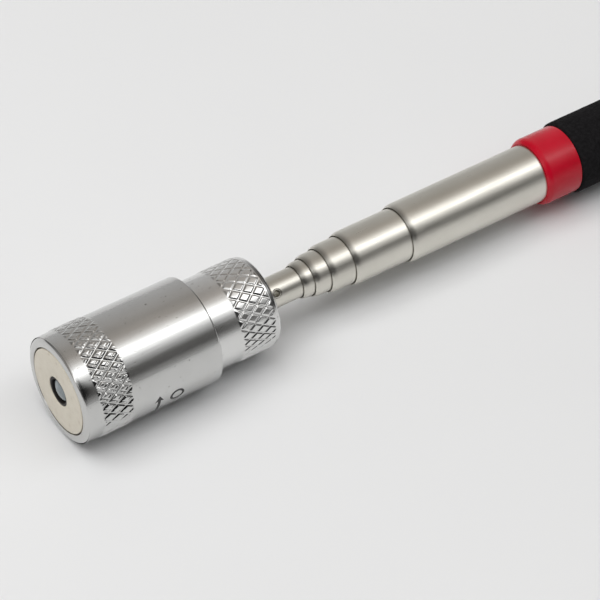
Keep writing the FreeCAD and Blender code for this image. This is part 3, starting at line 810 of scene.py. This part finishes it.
def make_lamp_core():
    """Reflector cup and phosphor dot inside the lamp."""
    back, tip, _ = span("led_lamp")
    post_back = back + POST_BACK
    cup_front = tip - CUP_INSET
    cup_floor = cup_front - CUP_DEPTH
    cup = turned("lamp_cup", [
        (post_back, 0),
        (post_back, POST_RADIUS),
        (cup_floor - 0.1, 0.9),
        (cup_front, CUP_RADIUS, 0.1),
        (cup_front - 0.1, CUP_RADIUS - CUP_WALL, 0.05),
        (cup_floor, 0.55),
        (cup_floor, 0),
    ], SMALL_SEGMENTS)
    finish(cup, "barrel", "steel", STEEL)
    dot = turned("lamp_die", [
        (cup_floor + 0.02, 0),
        (cup_floor + 0.02, 0.5),
        (cup_floor + 0.28, 0.66, 0.1),
        (cup_floor + 0.35, 0.3),
        (cup_floor + 0.37, 0),
    ], SMALL_SEGMENTS)
    finish(dot, "barrel", "board", phosphor())


def printed(name, shapes, splits, station, angle, material):
    """A thin print on the barrel from flat shapes, halved often enough to follow its curve.

    Their corners are (along the tool, up round it).
    """
    radius = span("head_barrel")[2] - KNURL_RISE
    flat = bmesh.new()
    for corners in shapes:
        flat.faces.new([flat.verts.new((x, y, PRINT_LIFT)) for x, y in corners])
    bmesh.ops.remove_doubles(flat, verts=flat.verts, dist=0.001)
    bmesh.ops.triangulate(flat, faces=flat.faces[:])
    for _ in range(splits):
        bmesh.ops.subdivide_edges(flat, edges=flat.edges[:], cuts=1, use_grid_fill=True)
    under = bmesh.ops.extrude_face_region(flat, geom=flat.faces[:], use_keep_orig=True)
    for vertex in under["geom"]:
        if isinstance(vertex, bmesh.types.BMVert):
            vertex.co.z = -PRINT_LIFT
    flat.verts.index_update()
    points = []
    for vertex in flat.verts:
        turn = math.radians(angle) + vertex.co.y / radius
        points += ring_at(station + vertex.co.x, radius + vertex.co.z, [turn])
    faces = [[vertex.index for vertex in face.verts] for face in flat.faces]
    flat.free()
    return finish(mesh_piece(name, points, faces), "barrel", "black_plastic", material)


def make_twist_mark(material):
    """Generic twist mark: an arrow that points round the barrel, and a plain ring beside it."""
    arrow = [
        (-ARROW_SHAFT, ARROW_TAIL),
        (ARROW_SHAFT, ARROW_TAIL),
        (ARROW_SHAFT, ARROW_THROAT),
        (ARROW_HEAD, ARROW_BARB),
        (0, ARROW_TIP),
        (-ARROW_HEAD, ARROW_BARB),
        (-ARROW_SHAFT, ARROW_THROAT),
    ]
    printed("twist_arrow", [arrow], ARROW_SPLITS, *ARROW_PLACE, material)
    turns = [TURN * k / RING_STEPS for k in range(RING_STEPS + 1)]
    inner = [(RING_INSIDE * math.cos(a), RING_INSIDE * math.sin(a)) for a in turns]
    outer = [(RING_OUTSIDE * math.cos(a), RING_OUTSIDE * math.sin(a)) for a in turns]
    ring = []
    for k in range(RING_STEPS):
        ring.append([inner[k], outer[k], outer[k + 1], inner[k + 1]])
    printed("twist_ring", ring, RING_SPLITS, *RING_PLACE, material)


# ------------------------------------------------------------------------------- the tubes

def tube_outline(n):
    """Corners of tube n: swaged neck behind, lip rolled in to the next tube in front."""
    rear, tip, outside = span(f"tube_{n}")
    inside = outside - TUBE_WALL
    lip_bore = span(f"tube_{n - 1}")[2] + LIP_GAP
    lip_back = tip - LIP_LENGTH
    fall = outside - lip_bore - LIP_EDGE
    curve = (LIP_LENGTH ** 2 + fall ** 2) / (2 * fall)
    outer = [(rear, outside)]
    inner = [(rear, inside)]
    if n < TUBE_COUNT:
        neck_back = rear + FLARE_LENGTH
        neck_front = neck_back + NECK_LENGTH
        outer += [
            (neck_back, outside, 0.05),
            (neck_back, outside - NECK_DEPTH),
            (neck_front, outside - NECK_DEPTH),
            (neck_front + SHOULDER_LENGTH, outside, 0.3),
        ]
        inner += [
            (neck_back - TUBE_WALL, inside),
            (neck_back - TUBE_WALL, inside - NECK_DEPTH),
            (neck_front, inside - NECK_DEPTH),
            (neck_front + SHOULDER_LENGTH, inside),
        ]
    for k in range(ROUND_STEPS * 2 + 1):
        along = LIP_LENGTH * k / (ROUND_STEPS * 2)
        drop = curve - math.sqrt(curve ** 2 - along ** 2)
        outer.append((lip_back + along, outside - drop))
    inner += [(lip_back, inside), (tip - LIP_LAND, lip_bore), (tip, lip_bore, 0.04)]
    return outer + inner[::-1]


def make_cross_pin():
    """Rolled C-section pin with rounded ends, across the neck tube."""
    low, high = [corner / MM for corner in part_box("cross_pin")]
    centre = (low + high) / 2
    half = PIN_LENGTH / 2
    inside = PIN_RADIUS - PIN_WALL
    profile = eased([
        (-half, inside, PIN_ROUNDING), (-half, PIN_RADIUS, PIN_ROUNDING),
        (half, PIN_RADIUS, PIN_ROUNDING), (half, inside, PIN_ROUNDING),
    ])
    gap = math.asin(PIN_SLIT / 2 / PIN_RADIUS)
    turn = Matrix.Rotation(math.radians(PIN_ANGLE), 3, "X")
    sections = []
    for k in range(PIN_SEGMENTS + 1):
        angle = gap + (TURN - 2 * gap) * k / PIN_SEGMENTS
        section = [Vector((p.y * math.cos(angle), p.x, p.y * math.sin(angle))) for p in profile]
        sections.append([(centre + turn @ point) * MM for point in section])
    count = len(profile)
    points = [point for section in sections for point in section]
    faces = [list(range(count)), list(range(len(points) - count, len(points)))]
    for k in range(PIN_SEGMENTS):
        for j in range(count):
            a, b = k * count + j, k * count + (j + 1) % count
            faces.append((a, b, b + count, a + count))
    piece = mesh_piece("rolled_pin", points, faces)
    return finish(piece, "neck", "steel", TUBE, "cross_pin")


def make_tubes():
    """The outer tube and the four that slide in it. The thinnest stays as the frame has it."""
    for n in range(2, TUBE_COUNT + 1):
        piece = turned(f"tube_{n}_skin", tube_outline(n))
        body = "handle" if n == TUBE_COUNT else f"section_{n}"
        finish(piece, body, "tube_metal", TUBE, f"tube_{n}")


# ------------------------------------------------------------------------------ the handle

def make_collar():
    """Red collar with a rounded nose."""
    back, front, outside = span("front_collar")
    inside = span("tube_6")[2]
    fall = outside - inside - COLLAR_LIP
    curve = (COLLAR_NOSE ** 2 + fall ** 2) / (2 * fall)
    corners = [(back, inside, 0.05), (back, outside, 0.15)]
    for k in range(ROUND_STEPS * 2 + 1):
        along = COLLAR_NOSE * k / (ROUND_STEPS * 2)
        radius = outside - curve + math.sqrt(curve ** 2 - along ** 2)
        corners.append((front - COLLAR_NOSE + along, radius))
    corners.append((front, inside))
    piece = turned("red_collar", corners)
    return finish(piece, "handle", "red_plastic", RED, "front_collar")


def make_cap():
    """Red end cap with a plug and a shallow dish in its rear face."""
    back, front, outside = span("end_cap")
    grip_back = span("foam_grip")[0]
    plug = span("tube_6")[2] - TUBE_WALL - PLUG_PLAY
    rim = outside - CAP_RIM
    piece = turned("red_end_cap", [
        (back + CAP_DISH, 0),
        (back + CAP_DISH, rim - CAP_SLOPE, 0.3),
        (back, rim, 0.4),
        (back, outside, CAP_ROUNDING),
        (grip_back, outside, 0.2),
        (grip_back, plug),
        (front, plug, PLUG_ROUNDING),
        (front, 0),
    ])
    return finish(piece, "handle", "red_plastic", RED, "end_cap")


def make_grip():
    """Foam sleeve: rounded ends and a skin that is slightly pitted and wavy."""
    back, front, outside = span("foam_grip")
    inside = span("tube_6")[2]
    length = front - back
    angles = around(FOAM_SEGMENTS)
    rings = [ring_at(back, inside, angles)]
    for i in range(FOAM_ROWS + 1):
        station = back + length * i / FOAM_ROWS
        edge = min(station - back, front - station, FOAM_ROUNDING)
        inset = FOAM_ROUNDING - math.sqrt(FOAM_ROUNDING ** 2 - (FOAM_ROUNDING - edge) ** 2)
        ring = []
        for angle in angles:
            around_it = Vector((station, outside * math.cos(angle), outside * math.sin(angle)))
            pits = noise.noise(around_it * PIT_SCALE)
            pits += FINE_PIT_SHARE * noise.noise(around_it * FINE_PIT_SCALE)
            waves = noise.noise(around_it * WAVE_SCALE)
            radius = outside - inset - FOAM_SUNK + FOAM_PITS * pits + FOAM_WAVES * waves
            ring += ring_at(station, radius, [angle])
        rings.append(ring)
    rings.append(ring_at(front, inside, angles))
    piece = skin("foam_sleeve", rings, 60)
    finish(piece, "handle", "black_foam", FOAM, "foam_grip")
    return piece


# ---------------------------------------------------------------- pieces that stay as they are

def repaint(name, material):
    """Give a CAD node a procedural material, and nothing else."""
    mesh = nodes[name].data
    mesh.materials.clear()
    mesh.materials.append(material)


def repaint_frame():
    """Materials for the nodes whose CAD shape is shown as it is."""
    repaint("tube_1", TUBE)
    for n in range(1, TUBE_COUNT):
        repaint(f"friction_bush_{n}", BRASS)
    for name in (
        "neck_stem", "stem_washer", "stem_nut", "battery_spring", "pole_washer", "led_leads",
    ):
        repaint(name, STEEL)
    for n in range(1, 5):
        repaint(f"button_cell_{n}", CELL)
    for name in ("contact_button", "contact_ring"):
        repaint(name, BRASS)
    repaint("battery_sleeve", sleeve_card())
    repaint("seal_ring", seal_rubber())
    repaint("lamp_board", lamp_board_green())


# ------------------------------------------------------------------------------- the studio

# where the tool touches the floor, in millimetres from the barrel's face and the grip's rear end
REST_BEHIND_FACE = 3.3
REST_BEFORE_REAR = 0.9

# metres, with the lens and the sensor in millimetres
FLOOR_SIZE = 4.0
CAMERA_FROM_FACE = Vector((0.1721, 0.3219, 0.3802))
CAMERA_LOOK = Vector((-0.412, -0.5837, -0.6997))
CAMERA_UP = Vector((-0.3858, -0.584, 0.7143))
CAMERA_LENS = 168
CAMERA_SENSOR = 36


def make_floor():
    """A pale plane that the barrel's knurl and the grip's rear end rest on."""
    barrel_face, crest = span("head_barrel")[1:]
    grip_back, _, grip_radius = span("foam_grip")
    front_rest = Vector((barrel_face - REST_BEHIND_FACE, 0, -crest)) * MM
    back_rest = Vector((grip_back + REST_BEFORE_REAR, 0, -grip_radius)) * MM
    along = (front_rest - back_rest).normalized()
    across = Vector((0, 1, 0))
    mesh = bpy.data.meshes.new("studio_floor")
    half = FLOOR_SIZE / 2
    corners = []
    for u, v in ((-1, -1), (1, -1), (1, 1), (-1, 1)):
        corners.append(front_rest + along * u * half + across * v * half)
    mesh.from_pydata(corners, [], [(0, 1, 2, 3)])
    floor = bpy.data.objects.new("studio_floor", mesh)
    bpy.context.scene.collection.objects.link(floor)
    mesh.materials.append(pale_floor())


def make_camera():
    """The camera, placed from the middle of the magnet's face."""
    data = bpy.data.cameras.new("camera")
    data.lens = CAMERA_LENS
    data.sensor_width = CAMERA_SENSOR
    camera = bpy.data.objects.new("camera", data)
    back = -CAMERA_LOOK.normalized()
    right = CAMERA_UP.cross(back).normalized()
    up = back.cross(right)
    face = Vector((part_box("head_barrel")[1].x, 0, 0))
    camera.matrix_world = Matrix((right, up, back)).transposed().to_4x4()
    camera.location = face + CAMERA_FROM_FACE
    bpy.context.scene.collection.objects.link(camera)
    bpy.context.scene.camera = camera


STUDIO = [
    # degrees round the tool from +Y towards +Z, brightness, warmth
    (0, 0.5, 0.0), (7, 0.33, 0.02), (16, 0.12, 0.03), (30, 0.16, 0.04), (42, 0.62, 0.0),
    (50, 1.0, 0.0), (56, 1.5, 0.0), (62, 2.8, 0.0), (69, 2.8, 0.0), (76, 1.5, 0.02),
    (84, 1.0, 0.06), (91, 0.68, 0.1), (101, 0.48, 0.14), (118, 0.41, 0.12), (135, 0.47, 0.07),
    (155, 0.5, 0.03), (180, 0.56, 0.0),
]
LENGTHWISE = [
    # cosine of the angle to +X, brightness
    (-0.95, 0.06), (-0.75, 0.3), (-0.6, 1.0), (-0.22, 1.0), (-0.05, 0.55), (0.2, 0.3), (0.5, 0.3),
    (0.8, 0.7), (1.0, 0.8),
]
# a dark patch: its direction, then degrees from its middle and the light left there
SHADE_TOWARDS = (0.2, 0.85, 0.49)
SHADE_EDGES = ((24, 0.08), (31, 1.0))
# place and size in metres, power in watts
SOFTBOX_PLACE = Vector((0.45, -0.08, 0.95))
SOFTBOX_SIZE = 0.8
SOFTBOX_POWER = 7.1


def make_world():
    """A studio that is dark low in front, bright high in front, grey behind, and uneven lengthwise."""
    world = bpy.data.worlds.new("studio")
    world.use_nodes = True
    tree = world.node_tree
    place = tree.nodes.new("ShaderNodeTexCoord").outputs["Generated"]
    split = tree.nodes.new("ShaderNodeSeparateXYZ")
    tree.links.new(place, split.inputs["Vector"])
    top = max(level for _, level, _ in STUDIO)
    stops = []
    for degrees, level, warmth in STUDIO:
        shade = level / top
        stops.append((degrees / 180, (shade, shade * (1 - warmth / 2), shade * (1 - warmth))))
    angle = math_node(tree, "ARCTAN2", split.outputs["Z"], split.outputs["Y"])
    round_tool = ramp(tree, math_node(tree, "DIVIDE", angle, math.pi), stops)
    stops = [(0.5 + cosine / 2, level) for cosine, level in LENGTHWISE]
    # Multiply Add also adds its third input, which Blender sets to 0.5
    along = ramp(tree, math_node(tree, "MULTIPLY_ADD", split.outputs["X"], 0.5), stops)
    towards = vector_node(tree, "DOT_PRODUCT", place, SHADE_TOWARDS)
    stops = [(math.cos(math.radians(degrees)), level) for degrees, level in reversed(SHADE_EDGES)]
    shade = ramp(tree, towards, stops)
    colour = vector_node(tree, "MULTIPLY", vector_node(tree, "MULTIPLY", round_tool, along), shade)
    background = next(n for n in tree.nodes if n.type == "BACKGROUND")
    background.inputs["Strength"].default_value = top
    tree.links.new(colour, background.inputs["Color"])
    bpy.context.scene.world = world
    bpy.context.scene.view_settings.view_transform = "Standard"


def make_softbox():
    """A softbox overhead, out of the metal's reflections, which gives the close soft shadow."""
    data = bpy.data.lights.new("softbox", "AREA")
    data.size = SOFTBOX_SIZE
    data.energy = SOFTBOX_POWER
    light = bpy.data.objects.new("softbox", data)
    light.location = SOFTBOX_PLACE
    light.visible_glossy = False
    light.rotation_euler = (-SOFTBOX_PLACE).to_track_quat("-Z", "Y").to_euler()
    bpy.context.scene.collection.objects.link(light)


# ------------------------------------------------------------------------------------ build

make_barrel()
make_battery_body()
make_magnet()
make_lining()
make_lamp()
make_lamp_core()
make_twist_mark(black_print())
make_tubes()
make_cross_pin()
make_collar()
make_cap()
make_grip()
repaint_frame()
make_floor()
make_camera()
make_world()
make_softbox()
